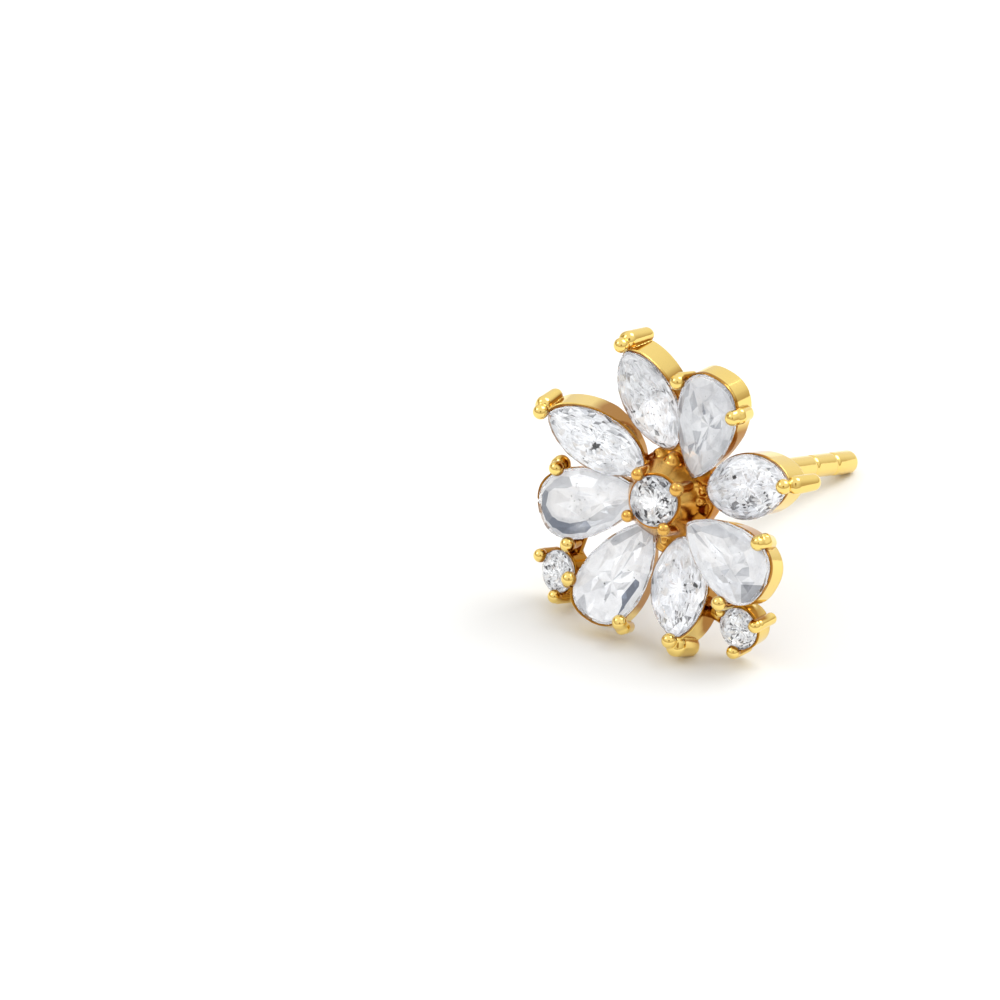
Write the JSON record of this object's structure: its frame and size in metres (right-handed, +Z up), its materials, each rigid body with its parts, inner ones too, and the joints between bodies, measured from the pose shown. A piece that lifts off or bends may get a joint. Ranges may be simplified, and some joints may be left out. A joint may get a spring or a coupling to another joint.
{
  "type": "flower stud earring",
  "caption": "Stud earring: a flower of pear and marquise petal stones round a raised centre stone, small rounds at its lower corners, in a polished gold prong setting on a straight ear post.",
  "frame": {"origin": "middle of the resting stud's bounding box, on the table's surface", "axes": "+Z up from the table, the flower's face looks along -Y and a little up, the ear post runs back along +Y down to the table"},
  "size_m": [0.0106, 0.0158, 0.0103],
  "materials": {
    "gold": "polished",
    "gem": "polished"
  },
  "bodies": {
    "root": {"setting": "gold", "pear_top": "gem", "pear_right": "gem", "pear_lower_left": "gem", "pear_left": "gem", "marquise_top_left": "gem", "marquise_right": "gem", "marquise_bottom": "gem", "marquise_left": "gem", "centre_stone": "gem", "small_stone_left": "gem", "small_stone_right": "gem"}
  },
  "joints": []
}
